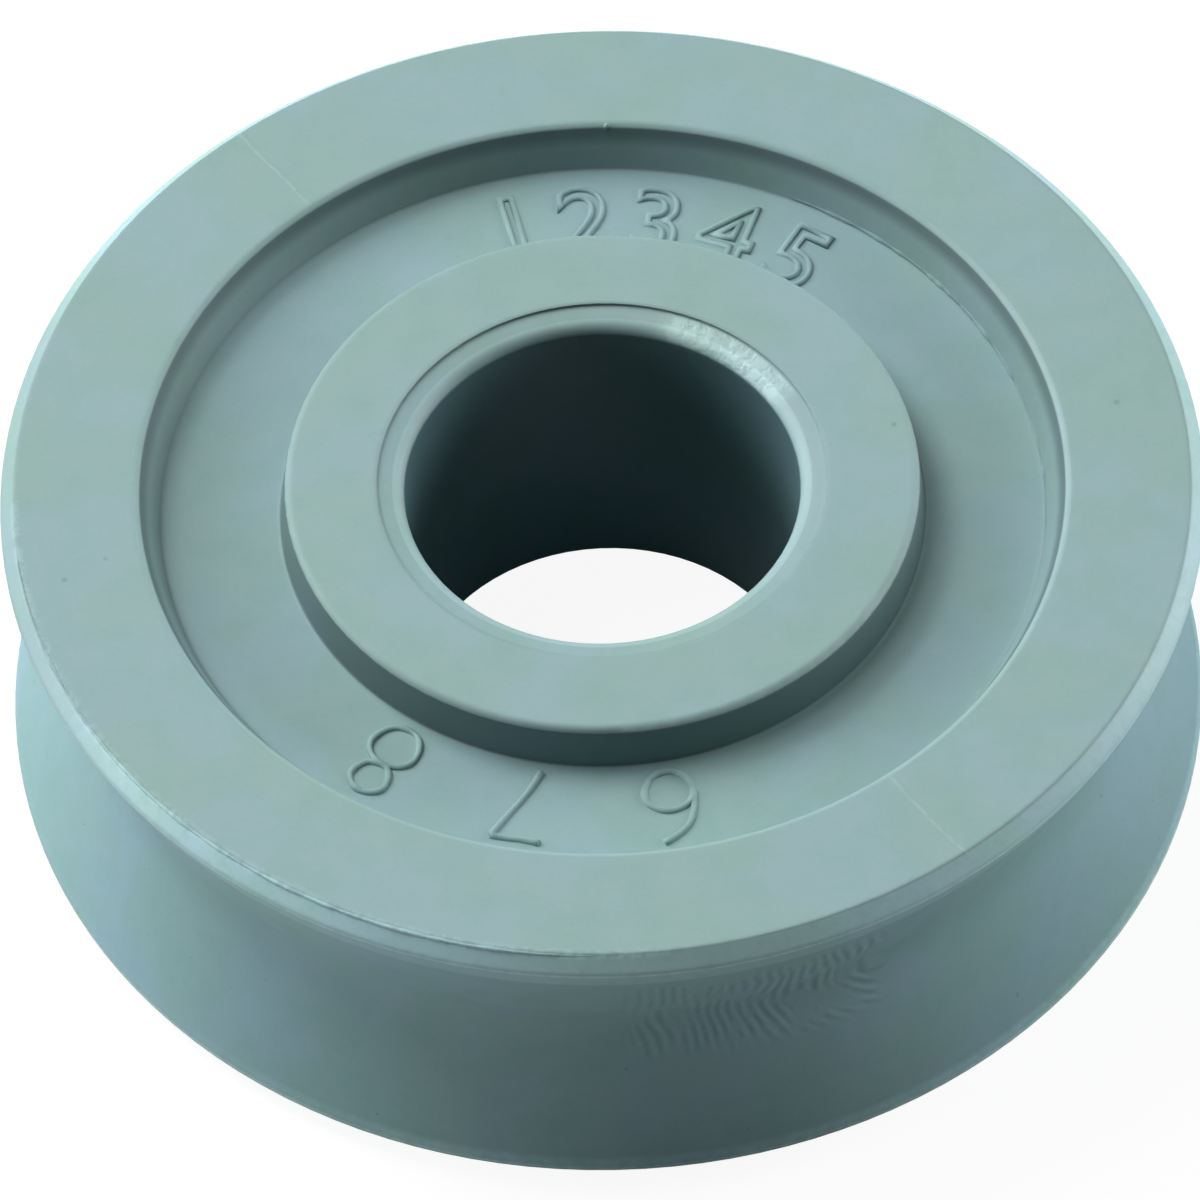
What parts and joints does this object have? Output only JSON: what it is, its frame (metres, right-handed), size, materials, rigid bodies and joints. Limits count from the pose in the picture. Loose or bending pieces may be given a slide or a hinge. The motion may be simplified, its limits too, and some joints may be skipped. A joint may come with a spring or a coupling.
{
  "type": "wire rope sheave",
  "caption": "One-piece moulded plastic sheave with a shallow rope groove, a recessed web on each face and a plain bore that runs on a pin.",
  "frame": {"origin": "on the axis of the bore, midway between the two faces", "axes": "+Z along the bore; X and Y lie in the plane of the groove, and all directions in that plane are alike"},
  "size_m": [0.038, 0.038, 0.0116],
  "materials": {
    "sheave": "matte as moulded, grey acetal"
  },
  "bodies": {
    "root": {"sheave": "sheave"}
  },
  "joints": []
}
